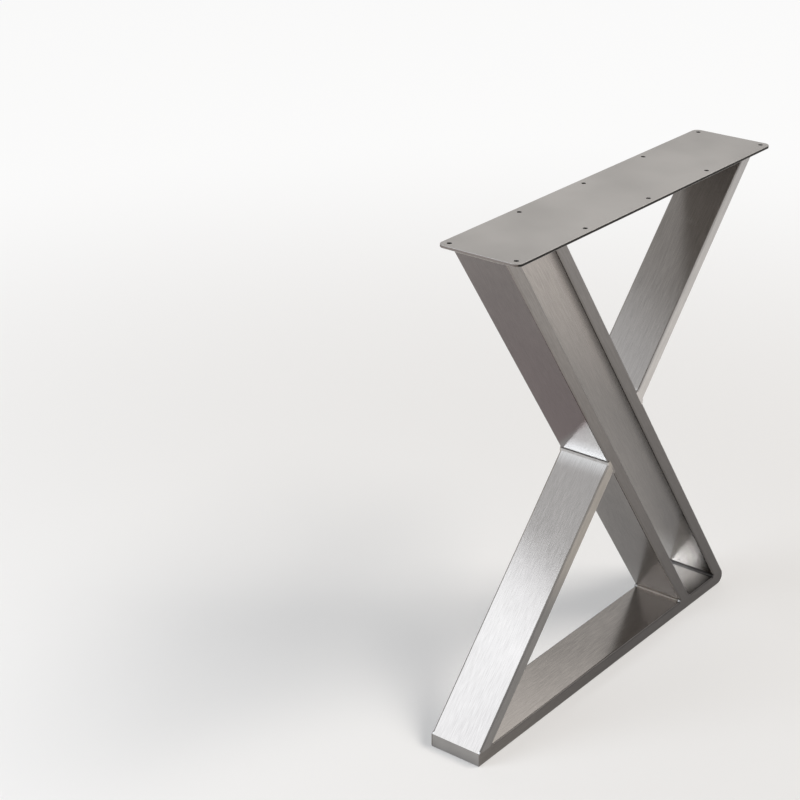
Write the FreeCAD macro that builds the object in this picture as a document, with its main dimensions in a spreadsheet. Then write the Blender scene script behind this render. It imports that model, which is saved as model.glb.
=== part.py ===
import FreeCAD, Part
import math
import os
import Sketcher
from FreeCAD import Vector

# An X shaped table leg of welded rectangular steel tube, 700 mm high.
# Two parallel long struts lean to the left going up.
# A lower and an upper strut cross them, leaning to the right.
# All four stand between a base bar on the floor and a flat screw plate that carries the table top.
# The leg stands on z = 0, runs along X, and its origin is under the middle of its outline.

doc = FreeCAD.newDocument("x_shaped_table_leg")

# Driving dimensions, in millimetres and degrees
DRIVING = [
    ("overall_height", 700.0, "floor to the top of the plate"),
    ("tube_broad", 80.0, "tube section, across the leg"),
    ("tube_thin", 20.0, "tube section, in the plane of the X"),
    ("tube_wall", 2.0, "tube wall"),
    ("tube_edge_radius", 3.0, "outside radius of the tube's four long edges"),
    ("plate_length", 608.0, "screw plate, along the leg"),
    ("plate_width", 122.0, "screw plate, across the leg"),
    ("plate_thickness", 4.0, "screw plate"),
    ("plate_corner_radius", 10.0, "plan radius of the plate's corners"),
    ("plate_arris", 0.5, "rounding of the plate's top and bottom edges"),
    ("hole_diameter", 6.5, "screw holes"),
    ("hole_end_inset", 11.0, "outer screw holes from the plate's ends"),
    ("hole_side_inset", 11.0, "screw holes from the plate's long edges"),
    ("holes_per_row", 5, "screw holes in each of the two rows"),
    ("hole_rows", 2, "rows of screw holes"),
    ("strut_inset", 4.0, "outermost struts in from the plate's ends"),
    ("long_strut_pitch", 97.0, "between the two long struts, measured level"),
    ("long_lean", 34.7, "long struts from upright"),
    ("cross_lean", 42.6, "lower and upper strut from upright"),
    ("base_reach", 34.0, "base bar's left end out past the plate's left end"),
    ("cap_thickness", 4.0, "left end cap, and the flat under the right one"),
    ("toe_radius", 1.0, "rounding of the left cap's edge at the floor"),
    ("weld_leg", 3.0, "leg of the fillet welds"),
]

sizes = doc.addObject("Spreadsheet::Sheet", "Sizes")
for row, (alias, value, note) in enumerate(DRIVING, start=1):
    sizes.set(f"A{row}", note)
    sizes.set(f"B{row}", str(value))
    sizes.setAlias(f"B{row}", alias)

# Places that follow from the driving dimensions
# A foot or head is where a strut's left face meets what it stands on or butts against.
LAYOUT = [
    ("plate_middle_x", "Sizes.base_reach / 2"),
    ("plate_underside", "Sizes.overall_height - Sizes.plate_thickness"),
    ("long_slope", "tan(Sizes.long_lean * 1 deg)"),
    ("cross_slope", "tan(Sizes.cross_lean * 1 deg)"),
    ("butt_slope", "1 / tan((Sizes.long_lean + Sizes.cross_lean) * 1 deg)"),
    ("long_across", "Sizes.tube_thin / cos(Sizes.long_lean * 1 deg)"),
    ("cross_across", "Sizes.tube_thin / cos(Sizes.cross_lean * 1 deg)"),
    ("long_rise", "plate_underside - Sizes.tube_thin"),
    ("long_length", "long_rise / cos(Sizes.long_lean * 1 deg)"),
    ("left_head_x", "plate_middle_x - Sizes.plate_length / 2 + Sizes.strut_inset"),
    ("left_foot_x", "left_head_x + long_rise * long_slope"),
    ("right_head_x", "left_head_x + Sizes.long_strut_pitch"),
    ("right_foot_x", "left_foot_x + Sizes.long_strut_pitch"),
    ("base_left_x", "plate_middle_x - Sizes.plate_length / 2 - Sizes.base_reach"),
    ("base_right_x", "right_foot_x + long_across"),
    ("heel_radius", "long_across * tan((90 - Sizes.long_lean) / 2 * 1 deg)"),
    ("heel_floor_x", "base_right_x + Sizes.tube_thin * long_slope - long_across"),
    ("heel_start_x", "heel_floor_x - Sizes.cap_thickness"),
    ("lower_rise", "(left_foot_x - base_left_x) / (cross_slope + long_slope)"),
    ("lower_length", "lower_rise / cos(Sizes.cross_lean * 1 deg)"),
    ("lower_head_x", "base_left_x + lower_rise * cross_slope"),
    ("lower_head_z", "Sizes.tube_thin + lower_rise"),
    ("upper_head_x", "plate_middle_x + Sizes.plate_length / 2 - Sizes.strut_inset - cross_across"),
    ("upper_rise", "(upper_head_x - right_head_x - long_across) / (cross_slope + long_slope)"),
    ("upper_length", "upper_rise / cos(Sizes.cross_lean * 1 deg)"),
    ("upper_foot_x", "upper_head_x - upper_rise * cross_slope"),
    ("upper_foot_z", "plate_underside - upper_rise"),
]

layout = doc.addObject("Spreadsheet::Sheet", "Layout")
for row, (alias, formula) in enumerate(LAYOUT, start=1):
    layout.set(f"A{row}", "=" + formula)
    layout.setAlias(f"A{row}", alias)
doc.recompute()

ACROSS = Vector(0, 1, 0)
LEAN_LEFT = Vector(0, -1, 0)
LEAN_RIGHT = Vector(0, 1, 0)

# Heights and points closer than this are the same, in millimetres
SAME = 1e-6


def size(alias):
    """The number in a driving cell."""
    return float(sizes.get(alias))


def place(alias):
    """The number in a layout cell."""
    return float(layout.get(alias))


def origin_feature(body, role):
    """One of a body's own origin planes or axes."""
    for feature in body.Origin.OriginFeatures:
        if feature.Role == role:
            return feature
    raise RuntimeError("no origin feature " + role)


def new_body(name):
    """An empty body whose label is the sub-part's name."""
    body = doc.addObject("PartDesign::Body", name)
    body.Label = name
    return body


def new_sketch(body, name, role):
    """A sketch on one of the body's origin planes."""
    sketch = body.newObject("Sketcher::SketchObject", name)
    sketch.AttachmentSupport = [(origin_feature(body, role), "")]
    sketch.MapMode = "FlatFace"
    return sketch


def constrain(sketch, name, kind, *where_and_value, bind):
    """A named dimension in a sketch, bound to an expression."""
    index = sketch.addConstraint(Sketcher.Constraint(kind, *where_and_value))
    sketch.renameConstraint(index, name)
    sketch.setExpression("Constraints." + name, bind)


def rounded_rectangle(sketch, left, long_x, long_y, radius):
    """A rectangle with round corners, level with the X axis at half its height.

    Each of the four sizes is a pair of its number and its expression, and left is its left edge's place.
    """
    low = left[0]
    high = low + long_x[0]
    half = long_y[0] / 2
    r = radius[0]
    # Anticlockwise from the bottom side, with the corner that follows each side
    side_ends = [
        (Vector(low + r, -half), Vector(high - r, -half)),
        (Vector(high, -half + r), Vector(high, half - r)),
        (Vector(high - r, half), Vector(low + r, half)),
        (Vector(low, half - r), Vector(low, -half + r)),
    ]
    corners = [
        Vector(high - r, -half + r),
        Vector(high - r, half - r),
        Vector(low + r, half - r),
        Vector(low + r, -half + r),
    ]
    quarter = math.pi / 2
    sides = []
    rounds = []
    for turn, (start, end) in enumerate(side_ends):
        sides.append(sketch.addGeometry(Part.LineSegment(start, end)))
        circle = Part.Circle(corners[turn], Vector(0, 0, 1), r)
        first_angle = (turn - 1) * quarter
        rounds.append(sketch.addGeometry(Part.ArcOfCircle(circle, first_angle, first_angle + quarter)))
    for turn in range(4):
        sketch.addConstraint(Sketcher.Constraint("Tangent", sides[turn], 2, rounds[turn], 1))
        sketch.addConstraint(Sketcher.Constraint("Tangent", rounds[turn], 2, sides[(turn + 1) % 4], 1))
        straight = "Horizontal" if turn % 2 == 0 else "Vertical"
        sketch.addConstraint(Sketcher.Constraint(straight, sides[turn]))
        if turn:
            sketch.addConstraint(Sketcher.Constraint("Equal", rounds[0], rounds[turn]))
    bottom, right_side, top, left_side = sides
    constrain(sketch, "corner", "Radius", rounds[0], r, bind=radius[1])
    constrain(sketch, "along_x", "DistanceX", left_side, 1, right_side, 1, long_x[0], bind=long_x[1])
    constrain(sketch, "along_y", "DistanceY", bottom, 1, top, 1, long_y[0], bind=long_y[1])
    constrain(sketch, "half_y", "DistanceY", -1, 1, top, 1, half, bind=f"({long_y[1]}) / 2")
    if low == 0:
        sketch.addConstraint(Sketcher.Constraint("PointOnObject", left_side, 1, -2))
    else:
        constrain(sketch, "left_x", "DistanceX", -1, 1, left_side, 1, low, bind=left[1])


def symmetric_pad(body, name, sketch, length):
    """Material to both sides of the sketch plane, with its whole length bound to an expression."""
    pad = body.newObject("PartDesign::Pad", name)
    pad.Profile = sketch
    pad.SideType = "Symmetric"
    pad.setExpression("Length", length)
    return pad


def through_pocket(body, name, sketch):
    """A cut right through to both sides of the sketch plane."""
    pocket = body.newObject("PartDesign::Pocket", name)
    pocket.Profile = sketch
    pocket.Type = "ThroughAll"
    pocket.SideType = "Symmetric"
    return pocket


# Any turn but none keeps the axis of a placement until its own angle is bound.
FIRST_TURN = 45.0


def lean(body, axis, angle, base_x, base_z):
    """Turn a body about the Y direction and put its origin in place, both by expressions."""
    body.Placement = FreeCAD.Placement(Vector(), FreeCAD.Rotation(axis, FIRST_TURN))
    body.setExpression("Placement.Rotation.Angle", angle)
    body.setExpression("Placement.Base.x", base_x)
    body.setExpression("Placement.Base.z", base_z)


# The tube's section: its face towards local x = 0 is the one that foot and head points lie on.
def outer_section(sketch):
    """The outside of the tube's section."""
    rounded_rectangle(
        sketch,
        left=(0.0, ""),
        long_x=(size("tube_thin"), "Sizes.tube_thin"),
        long_y=(size("tube_broad"), "Sizes.tube_broad"),
        radius=(size("tube_edge_radius"), "Sizes.tube_edge_radius"),
    )


# The bore's corners are the outside ones less the wall, and never sharper than a quarter of the wall.
BORE_RADIUS = "max(Sizes.tube_edge_radius - Sizes.tube_wall; Sizes.tube_wall / 4)"


def bore_section(sketch):
    """The inside of the tube's section."""
    wall = size("tube_wall")
    rounded_rectangle(
        sketch,
        left=(wall, "Sizes.tube_wall"),
        long_x=(size("tube_thin") - 2 * wall, "Sizes.tube_thin - 2 * Sizes.tube_wall"),
        long_y=(size("tube_broad") - 2 * wall, "Sizes.tube_broad - 2 * Sizes.tube_wall"),
        radius=(max(size("tube_edge_radius") - wall, wall / 4), BORE_RADIUS),
    )


def saw_cut(body, name, end, slope):
    """Cut the tube's foot or head off along a slanted line, seen from the side.

    The line crosses local x = 0 at the given end of the tube, and rises by slope for each millimetre of x.
    """
    sketch = new_sketch(body, name + "_line", "XZ_Plane")
    left_x = (-size("tube_thin"), "-Sizes.tube_thin")
    right_x = (2 * size("tube_thin"), "2 * Sizes.tube_thin")
    left_z = (end[0] + slope[0] * left_x[0], f"{end[1]} + {slope[1]} * ({left_x[1]})")
    right_z = (end[0] + slope[0] * right_x[0], f"{end[1]} + {slope[1]} * {right_x[1]}")
    far_z = (2 * end[0], f"({end[1]}) * 2")
    points = [
        Vector(left_x[0], left_z[0]),
        Vector(right_x[0], right_z[0]),
        Vector(right_x[0], far_z[0]),
        Vector(left_x[0], far_z[0]),
    ]
    lines = [sketch.addGeometry(Part.LineSegment(points[i], points[(i + 1) % 4])) for i in range(4)]
    for i in range(4):
        sketch.addConstraint(Sketcher.Constraint("Coincident", lines[i], 2, lines[(i + 1) % 4], 1))
    cut, right_side, far_side, left_side = lines
    sketch.addConstraint(Sketcher.Constraint("Vertical", right_side))
    sketch.addConstraint(Sketcher.Constraint("Horizontal", far_side))
    sketch.addConstraint(Sketcher.Constraint("Vertical", left_side))
    constrain(sketch, "left_x", "DistanceX", -1, 1, cut, 1, left_x[0], bind=left_x[1])
    constrain(sketch, "right_x", "DistanceX", -1, 1, cut, 2, right_x[0], bind=right_x[1])
    constrain(sketch, "left_z", "DistanceY", -1, 1, cut, 1, left_z[0], bind=left_z[1])
    constrain(sketch, "right_z", "DistanceY", -1, 1, cut, 2, right_z[0], bind=right_z[1])
    constrain(sketch, "far_z", "DistanceY", -1, 1, far_side, 1, far_z[0], bind=far_z[1])
    return through_pocket(body, name, sketch)


def bore(body):
    """Hollow the cut bar out from end to end."""
    sketch = new_sketch(body, body.Name + "_bore_section", "XY_Plane")
    bore_section(sketch)
    return through_pocket(body, body.Name + "_bore", sketch)


# Each tube's outside, before it is bored, is kept for the welds that lie against it.
outsides = {}

# A strut's stock is this much longer than the strut, for the slanted cuts at its two ends.
SAW_ALLOWANCE = "4 * Sizes.tube_thin"


def strut(name, axis, angle, length, foot_slope, head_slope, foot, head):
    """A leaning tube, cut from longer stock at both ends.

    Its origin is halfway between its foot and head points, which are pairs of expressions for x and z.
    """
    body = new_body(name)
    section = new_sketch(body, name + "_section", "XY_Plane")
    outer_section(section)
    symmetric_pad(body, name + "_stock", section, f"Layout.{length} + {SAW_ALLOWANCE}")
    half = place(length) / 2
    half_text = f"Layout.{length} / 2"
    slopes = {
        "long": (-place("long_slope"), "-Layout.long_slope"),
        "cross": (place("cross_slope"), "Layout.cross_slope"),
        "butt": (-place("butt_slope"), "-Layout.butt_slope"),
    }
    saw_cut(body, name + "_foot_cut", (-half, "-" + half_text), slopes[foot_slope])
    outside = saw_cut(body, name + "_head_cut", (half, half_text), slopes[head_slope])
    bore(body)
    lean(body, axis, angle, f"({foot[0]} + {head[0]}) / 2", f"({foot[1]} + {head[1]}) / 2")
    outsides[name] = (body, outside)
    return body


def level_bar(name, start_x, length):
    """The base bar, square cut, with its left face turned up."""
    body = new_body(name)
    section = new_sketch(body, name + "_section", "XY_Plane")
    outer_section(section)
    outside = symmetric_pad(body, name + "_stock", section, length)
    bore(body)
    lean(body, LEAN_RIGHT, "90", f"{start_x} + ({length}) / 2", "Sizes.tube_thin")
    outsides[name] = (body, outside)
    return body


def level_edges(shape, height):
    """Names of the edges that lie at one local height."""
    names = []
    for number, edge in enumerate(shape.Edges, start=1):
        box = edge.BoundBox
        if abs(box.ZMin - height) < SAME and abs(box.ZMax - height) < SAME:
            names.append(f"Edge{number}")
    return names


# A cap's rounding takes no more than this share of its thickness.
ROUNDING_LIMIT = 0.9


def toe_cap(name):
    """The flat cap at the base bar's left end, its outer edge at the floor rounded, but never through it.

    In the cap's own frame x = 0 is its top, and z runs from its outer face through its thickness.
    """
    body = new_body(name)
    section = new_sketch(body, name + "_outline", "XY_Plane")
    outer_section(section)
    pad = body.newObject("PartDesign::Pad", name + "_sheet")
    pad.Profile = section
    pad.setExpression("Length", "Sizes.cap_thickness")
    doc.recompute()
    floor_x = size("tube_thin")
    r = min(size("toe_radius"), ROUNDING_LIMIT * size("cap_thickness"))
    corner = Vector(floor_x, 0)
    toe = new_sketch(body, name + "_toe_line", "XZ_Plane")
    face_line = toe.addGeometry(Part.LineSegment(Vector(floor_x - r, 0), corner))
    floor_line = toe.addGeometry(Part.LineSegment(corner, Vector(floor_x, r)))
    circle = Part.Circle(Vector(floor_x - r, r), Vector(0, 0, 1), r)
    arc = toe.addGeometry(Part.ArcOfCircle(circle, -math.pi / 2, 0.0))
    toe.addConstraint(Sketcher.Constraint("Coincident", face_line, 2, floor_line, 1))
    toe.addConstraint(Sketcher.Constraint("Tangent", face_line, 1, arc, 1))
    toe.addConstraint(Sketcher.Constraint("Tangent", floor_line, 2, arc, 2))
    toe.addConstraint(Sketcher.Constraint("Horizontal", face_line))
    toe.addConstraint(Sketcher.Constraint("Vertical", floor_line))
    limit = f"{ROUNDING_LIMIT} * Sizes.cap_thickness"
    constrain(toe, "toe", "Radius", arc, r, bind=f"min(Sizes.toe_radius; {limit})")
    constrain(toe, "floor_x", "DistanceX", -1, 1, floor_line, 1, floor_x, bind="Sizes.tube_thin")
    toe.addConstraint(Sketcher.Constraint("PointOnObject", floor_line, 1, -1))
    outside = through_pocket(body, name + "_toe", toe)
    lean(body, LEAN_RIGHT, "90", "Layout.base_left_x", "Sizes.tube_thin")
    outsides[name] = (body, outside)
    return body


def side_edges(shape, below):
    """Names of the edges on a block's two flat sides that reach below a height."""
    names = []
    for number, edge in enumerate(shape.Edges, start=1):
        box = edge.BoundBox
        on_one_side = abs(box.YMax - box.YMin) < SAME
        level_or_curved = box.XMax - box.XMin > SAME
        if on_one_side and level_or_curved and box.ZMin < below - SAME:
            names.append(f"Edge{number}")
    return names


def heel_cap(name):
    """The solid cap at the base bar's right end, ground round from the strut's outer face down to the floor.

    The round is tangent to both. The edges of its flat sides are rounded as the tubes' edges are.
    """
    body = new_body(name)
    start_x = place("heel_start_x")
    floor_x = place("heel_floor_x")
    top_z = size("tube_thin")
    r = place("heel_radius")
    end = Vector(place("base_right_x"), top_z)
    side = new_sketch(body, name + "_side", "XZ_Plane")
    bottom = side.addGeometry(Part.LineSegment(Vector(start_x, 0), Vector(floor_x, 0)))
    circle = Part.Circle(Vector(floor_x, r), Vector(0, 0, 1), r)
    arc = side.addGeometry(Part.ArcOfCircle(circle, -math.pi / 2, math.radians(size("long_lean"))))
    top = side.addGeometry(Part.LineSegment(end, Vector(start_x, top_z)))
    inner = side.addGeometry(Part.LineSegment(Vector(start_x, top_z), Vector(start_x, 0)))
    side.addConstraint(Sketcher.Constraint("Tangent", bottom, 2, arc, 1))
    side.addConstraint(Sketcher.Constraint("Coincident", arc, 2, top, 1))
    side.addConstraint(Sketcher.Constraint("Coincident", top, 2, inner, 1))
    side.addConstraint(Sketcher.Constraint("Coincident", inner, 2, bottom, 1))
    side.addConstraint(Sketcher.Constraint("PointOnObject", bottom, 1, -1))
    side.addConstraint(Sketcher.Constraint("Horizontal", bottom))
    side.addConstraint(Sketcher.Constraint("Horizontal", top))
    side.addConstraint(Sketcher.Constraint("Vertical", inner))
    constrain(side, "round", "Radius", arc, r, bind="Layout.heel_radius")
    constrain(side, "start_x", "DistanceX", -1, 1, bottom, 1, start_x, bind="Layout.heel_start_x")
    constrain(side, "floor_x", "DistanceX", -1, 1, bottom, 2, floor_x, bind="Layout.heel_floor_x")
    constrain(side, "top_z", "DistanceY", -1, 1, top, 1, top_z, bind="Sizes.tube_thin")
    block = symmetric_pad(body, name + "_block", side, "Sizes.tube_broad")
    doc.recompute()
    outside = body.newObject("PartDesign::Fillet", name + "_edges")
    outside.Base = (block, side_edges(block.Shape, top_z))
    outside.setExpression("Radius", "Sizes.tube_edge_radius")
    outsides[name] = (body, outside)
    return body


def screw_plate(name):
    """The flat top plate with its two rows of screw holes."""
    body = new_body(name)
    outline = new_sketch(body, name + "_outline", "XY_Plane")
    rounded_rectangle(
        outline,
        left=(-size("plate_length") / 2, "-Sizes.plate_length / 2"),
        long_x=(size("plate_length"), "Sizes.plate_length"),
        long_y=(size("plate_width"), "Sizes.plate_width"),
        radius=(size("plate_corner_radius"), "Sizes.plate_corner_radius"),
    )
    sheet = body.newObject("PartDesign::Pad", name + "_sheet")
    sheet.Profile = outline
    sheet.setExpression("Length", "Sizes.plate_thickness")
    doc.recompute()
    arris = body.newObject("PartDesign::Fillet", name + "_arris")
    top_and_bottom = level_edges(sheet.Shape, 0.0) + level_edges(sheet.Shape, size("plate_thickness"))
    arris.Base = (sheet, top_and_bottom)
    arris.setExpression("Radius", "Sizes.plate_arris")
    first_x = -size("plate_length") / 2 + size("hole_end_inset")
    first_y = -size("plate_width") / 2 + size("hole_side_inset")
    hole_radius = size("hole_diameter") / 2
    spot = new_sketch(body, name + "_hole_spot", "XY_Plane")
    ring = spot.addGeometry(Part.Circle(Vector(first_x, first_y), Vector(0, 0, 1), hole_radius))
    constrain(spot, "hole", "Diameter", ring, size("hole_diameter"), bind="Sizes.hole_diameter")
    constrain(spot, "first_x", "DistanceX", -1, 1, ring, 3, first_x,
              bind="-Sizes.plate_length / 2 + Sizes.hole_end_inset")
    constrain(spot, "first_y", "DistanceY", -1, 1, ring, 3, first_y,
              bind="-Sizes.plate_width / 2 + Sizes.hole_side_inset")
    hole = through_pocket(body, name + "_hole", spot)
    doc.recompute()
    grid = body.newObject("PartDesign::LinearPattern", name + "_hole_grid")
    grid.Originals = [hole]
    grid.Direction = (origin_feature(body, "X_Axis"), [""])
    grid.setExpression("Length", "Sizes.plate_length - 2 * Sizes.hole_end_inset")
    grid.setExpression("Occurrences", "Sizes.holes_per_row")
    grid.Direction2 = (origin_feature(body, "Y_Axis"), [""])
    grid.setExpression("Length2", "Sizes.plate_width - 2 * Sizes.hole_side_inset")
    grid.setExpression("Occurrences2", "Sizes.hole_rows")
    body.Tip = grid
    body.setExpression("Placement.Base.x", "Layout.plate_middle_x")
    body.setExpression("Placement.Base.z", "Layout.plate_underside")
    return body


# The tubes, caps and plate
screw_plate("top_plate")
strut(
    "left_long_strut", LEAN_LEFT, "Sizes.long_lean", "long_length", "long", "long",
    foot=("Layout.left_foot_x", "Sizes.tube_thin"),
    head=("Layout.left_head_x", "Layout.plate_underside"),
)
strut(
    "right_long_strut", LEAN_LEFT, "Sizes.long_lean", "long_length", "long", "long",
    foot=("Layout.right_foot_x", "Sizes.tube_thin"),
    head=("Layout.right_head_x", "Layout.plate_underside"),
)
strut(
    "lower_strut", LEAN_RIGHT, "Sizes.cross_lean", "lower_length", "cross", "butt",
    foot=("Layout.base_left_x", "Sizes.tube_thin"),
    head=("Layout.lower_head_x", "Layout.lower_head_z"),
)
strut(
    "upper_strut", LEAN_RIGHT, "Sizes.cross_lean", "upper_length", "butt", "cross",
    foot=("Layout.upper_foot_x", "Layout.upper_foot_z"),
    head=("Layout.upper_head_x", "Layout.plate_underside"),
)
level_bar(
    "base_bar",
    "Layout.base_left_x + Sizes.cap_thickness",
    "Layout.heel_start_x - Layout.base_left_x - Sizes.cap_thickness",
)
toe_cap("left_end_cap")
heel_cap("right_end_cap")
doc.recompute()


def outside_of(name):
    """A tube's or cap's filled outside, where it stands in the leg."""
    body, feature = outsides[name]
    shape = feature.Shape.copy()
    shape.transformShape(body.Placement.toMatrix())
    return shape


def weld(name, upper, lower, along, away, into, upper_reach, lower_reach, against):
    """Weld metal round the end of a strut, dressed flush with the tubes' narrow sides.

    upper and lower are the two lines where the strut's broad faces meet its carrier, seen from the side.
    along points up the carrier's face from lower to upper, away points along the strut from the carrier,
    and into is how far the weld fills the carrier's rounded edges.
    Each reach is how far the bead spreads over the carrier, and none where it is flush with the strut.
    """
    outline = [
        upper + along * upper_reach + into,
        upper + along * upper_reach,
        upper + away * leg,
        lower + away * leg,
        lower - along * lower_reach,
        lower - along * lower_reach + into,
    ]
    corners = []
    for point in outline:
        if not corners or (point - corners[-1]).Length > SAME:
            corners.append(point)
    if (corners[0] - corners[-1]).Length < SAME:
        corners.pop()
    half_broad = ACROSS * (size("tube_broad") / 2)
    loop = Part.makePolygon([point - half_broad for point in corners + corners[:1]])
    blank = Part.Face(loop).extrude(half_broad * 2)
    metal = blank.cut([outside_of(other) for other in against])
    bead = doc.addObject("Part::Feature", name)
    bead.Label = name
    bead.Shape = Part.makeCompound(metal.Solids)
    bead.Placement = FreeCAD.Placement()
    return bead


# Directions in the plane of the X
long_angle = math.radians(size("long_lean"))
cross_angle = math.radians(size("cross_lean"))
LONG_UP = Vector(-math.sin(long_angle), 0, math.cos(long_angle))
CROSS_UP = Vector(math.sin(cross_angle), 0, math.cos(cross_angle))
LONG_FACE_OUT = Vector(math.cos(long_angle), 0, math.sin(long_angle))
LEVEL_LEFT = Vector(-1, 0, 0)
DOWN = Vector(0, 0, -1)

leg = size("weld_leg")
FLUSH = 0.0
edge_fill = size("tube_edge_radius")
bar_top = size("tube_thin")
underside = place("plate_underside")
butt_across = size("tube_thin") / math.sin(long_angle + cross_angle)


def weld_to_plate(name, strut_name, head_x, across, strut_up):
    """Fillet welds under the plate on a strut's two broad faces."""
    left = Vector(place(head_x), 0, underside)
    right = Vector(place(head_x) + place(across), 0, underside)
    weld(name, left, right, LEVEL_LEFT, -strut_up, Vector(), leg, leg, [strut_name])


def weld_to_base(name, strut_name, left_x, right_x, strut_up, left_reach, right_reach, caps):
    """Welds on the base bar's top from left_x to right_x, with its rounded edges filled beside the strut."""
    left = Vector(left_x, 0, bar_top)
    right = Vector(right_x, 0, bar_top)
    against = [strut_name, "base_bar"] + caps
    weld(name, left, right, LEVEL_LEFT, strut_up, DOWN * edge_fill, left_reach, right_reach, against)


weld_to_plate("weld_left_strut_plate", "left_long_strut", "left_head_x", "long_across", LONG_UP)
weld_to_plate("weld_right_strut_plate", "right_long_strut", "right_head_x", "long_across", LONG_UP)
weld_to_plate("weld_upper_strut_plate", "upper_strut", "upper_head_x", "cross_across", CROSS_UP)
left_foot_x = place("left_foot_x")
weld_to_base("weld_left_strut_base", "left_long_strut", left_foot_x, left_foot_x + place("long_across"),
             LONG_UP, leg, leg, [])
# The heel cap is flush with the right strut's foot, so there the weld ends where the cap starts.
weld_to_base("weld_right_strut_base", "right_long_strut", place("right_foot_x"), place("heel_start_x"),
             LONG_UP, leg, FLUSH, ["right_end_cap"])
base_left_x = place("base_left_x")
weld_to_base("weld_lower_strut_base", "lower_strut", base_left_x, base_left_x + place("cross_across"),
             CROSS_UP, FLUSH, leg, ["left_end_cap"])

lower_head = Vector(place("lower_head_x"), 0, place("lower_head_z"))
weld("weld_lower_strut_left_strut", lower_head, lower_head - LONG_UP * butt_across, LONG_UP, -CROSS_UP,
     LONG_FACE_OUT * edge_fill, leg, leg, ["lower_strut", "left_long_strut"])
upper_foot = Vector(place("upper_foot_x"), 0, place("upper_foot_z"))
weld("weld_upper_strut_right_strut", upper_foot, upper_foot - LONG_UP * butt_across, LONG_UP, CROSS_UP,
     -LONG_FACE_OUT * edge_fill, leg, leg, ["upper_strut", "right_long_strut"])
doc.recompute()

# Every object has to be sound before any sub-part is written
for item in doc.Objects:
    if "Invalid" in item.State or "Error" in item.State:
        raise RuntimeError(f"{item.Name} did not build: {item.State}")

sub_parts = [item for item in doc.Objects if item.TypeId in ("PartDesign::Body", "Part::Feature")]
for item in sub_parts:
    if item.Shape.isNull() or not item.Shape.isValid() or not item.Shape.Solids:
        raise RuntimeError(f"{item.Label} has no sound solid")

os.makedirs("parts", exist_ok=True)
for item in sub_parts:
    item.Shape.exportStep(f"parts/{item.Label}.step")
    print(f"{item.Label}: solids {len(item.Shape.Solids)}, cubic millimetres {item.Shape.Volume:.1f}")
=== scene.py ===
# %% [markdown]
# # A table leg in brushed stainless steel
#
# This lesson dresses an X shaped table leg that already exists as a measured model: flat steel tube, a
# screw plate on top and weld metal in the corners. Nothing here moves or resizes those pieces. What is
# added is their look: the brushed grain that runs along each tube, the satin plate, the ripples of the
# welds, and a small studio to see them in. Lengths are in metres and +Z is up.

# %% Load the measured leg
import math
from collections import namedtuple

import bmesh
import bpy
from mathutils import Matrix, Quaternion, Vector


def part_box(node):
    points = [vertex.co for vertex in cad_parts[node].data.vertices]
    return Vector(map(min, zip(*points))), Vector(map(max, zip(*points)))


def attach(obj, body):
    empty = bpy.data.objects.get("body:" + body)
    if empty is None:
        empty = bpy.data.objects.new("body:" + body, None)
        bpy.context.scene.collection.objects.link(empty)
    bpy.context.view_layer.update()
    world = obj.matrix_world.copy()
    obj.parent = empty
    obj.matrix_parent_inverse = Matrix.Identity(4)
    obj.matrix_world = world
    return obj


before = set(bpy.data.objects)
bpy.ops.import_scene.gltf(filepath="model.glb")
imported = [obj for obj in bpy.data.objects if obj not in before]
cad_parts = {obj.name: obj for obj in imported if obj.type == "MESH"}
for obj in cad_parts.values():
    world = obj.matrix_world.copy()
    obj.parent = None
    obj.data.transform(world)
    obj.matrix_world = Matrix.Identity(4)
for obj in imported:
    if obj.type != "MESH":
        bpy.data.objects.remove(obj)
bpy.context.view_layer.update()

print("pieces of the leg:", sorted(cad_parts))

# %% [markdown]
# ## Where the joints are
#
# The grain has to run along each tube and the welds have to lie in the corners, so the first step is to
# find the tubes' directions and the lines where they meet. The tube's section and the two angles of lean
# are the leg's own sizes. The joints themselves are read from the boxes of the measured pieces.

# %% Directions and joint lines
TUBE_THIN = 0.020
TUBE_BROAD = 0.080
TUBE_EDGE_RADIUS = 0.003
LONG_LEAN = math.radians(34.7)
CROSS_LEAN = math.radians(42.6)

LONG_UP = Vector((-math.sin(LONG_LEAN), 0, math.cos(LONG_LEAN)))
CROSS_UP = Vector((math.sin(CROSS_LEAN), 0, math.cos(CROSS_LEAN)))
LEVEL_RIGHT = Vector((1, 0, 0))
LEVEL_LEFT = Vector((-1, 0, 0))

long_across = TUBE_THIN / math.cos(LONG_LEAN)
cross_across = TUBE_THIN / math.cos(CROSS_LEAN)
butt_across = TUBE_THIN / math.sin(LONG_LEAN + CROSS_LEAN)

left_low, left_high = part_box("left_long_strut")
right_low, right_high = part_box("right_long_strut")
lower_low, lower_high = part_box("lower_strut")
upper_low, upper_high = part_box("upper_strut")
bar_low, bar_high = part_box("base_bar")
plate_low, plate_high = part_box("top_plate")
bar_top = bar_high.z
plate_underside = plate_low.z


def joint_line(x, z):
    """The middle of a line across the leg."""
    return Vector((x, 0, z))


left_head = joint_line(left_low.x, plate_underside)
left_foot = joint_line(left_high.x - long_across, bar_top)
right_head = joint_line(right_low.x, plate_underside)
right_foot = joint_line(right_high.x - long_across, bar_top)
lower_foot = joint_line(lower_low.x, bar_top)
lower_head = joint_line(lower_high.x - butt_across * math.sin(LONG_LEAN), lower_high.z)
upper_head = joint_line(upper_high.x - cross_across, plate_underside)
upper_foot = joint_line(upper_low.x, upper_low.z + butt_across * math.cos(LONG_LEAN))
print("the lower strut meets the left long strut at", [round(value, 4) for value in lower_head])

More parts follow.
